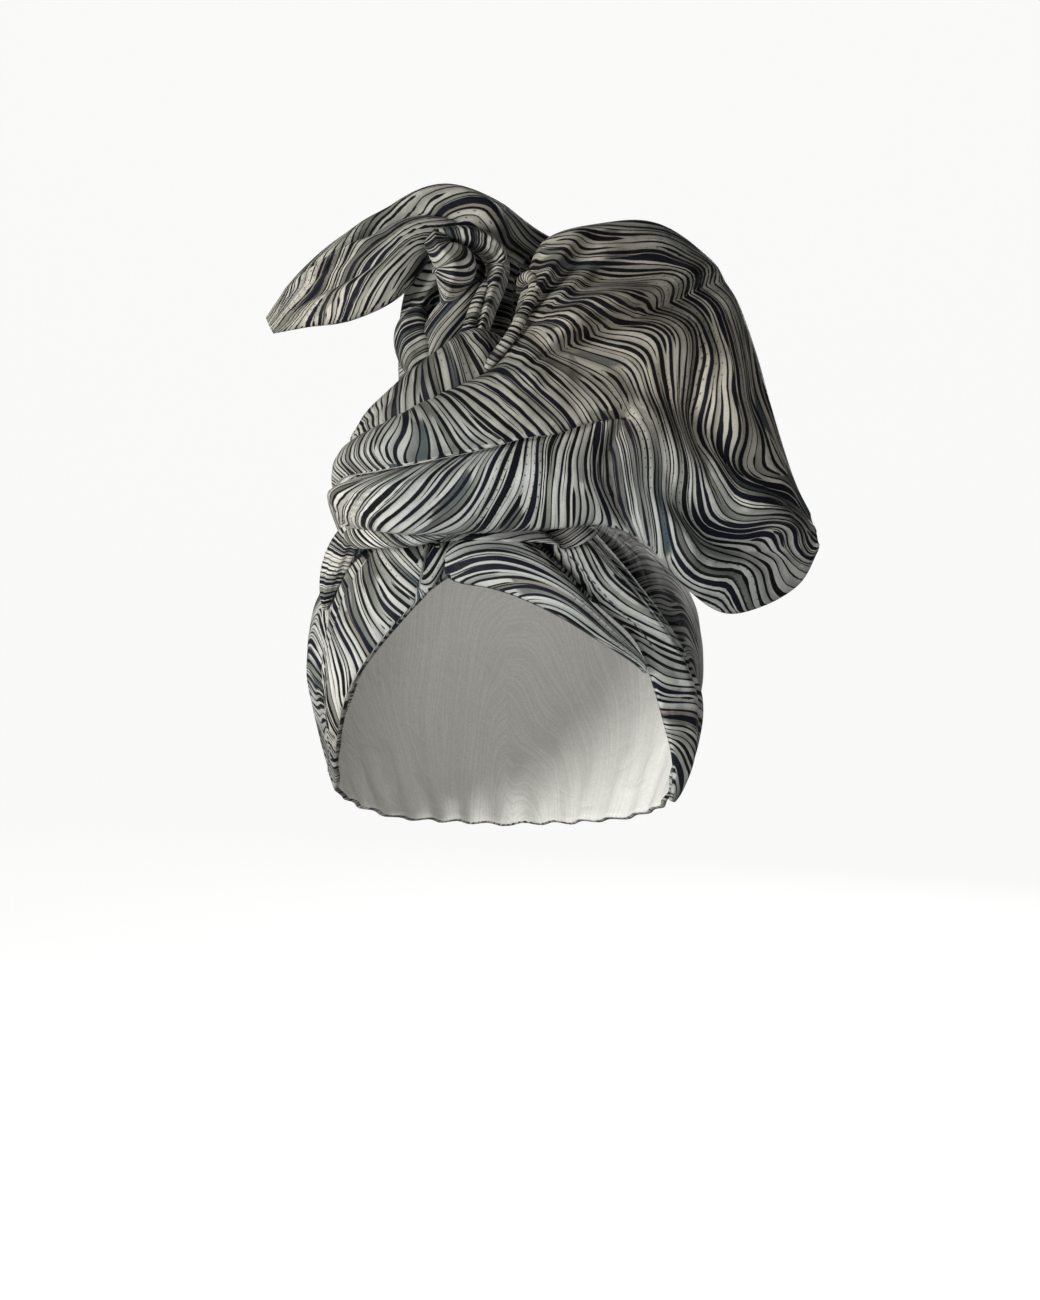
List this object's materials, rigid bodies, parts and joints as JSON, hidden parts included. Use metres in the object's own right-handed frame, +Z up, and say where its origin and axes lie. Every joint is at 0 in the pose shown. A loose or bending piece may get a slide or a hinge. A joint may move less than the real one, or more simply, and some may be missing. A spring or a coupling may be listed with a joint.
{
  "type": "turban headwrap",
  "caption": "Soft cap of printed cloth whose sash ends are tied above the forehead, one spread into a wide wing and the other standing up and flopping over in a point.",
  "frame": {"origin": "top of the head, inside the crown of the cap, on the head's upright axis", "axes": "+Z up, the wearer's face looks along -Y, +X to the right of someone facing the wearer"},
  "size_m": [0.2237, 0.2243, 0.2697],
  "materials": {
    "printed_cloth": "matt woven cloth with a grey and black wave-line print"
  },
  "bodies": {
    "root": {"crown_cap": "printed_cloth", "left_band": "printed_cloth", "front_roll": "printed_cloth", "side_band": "printed_cloth", "right_wing": "printed_cloth", "left_tail": "printed_cloth", "knot_wrap": "printed_cloth"}
  },
  "joints": []
}
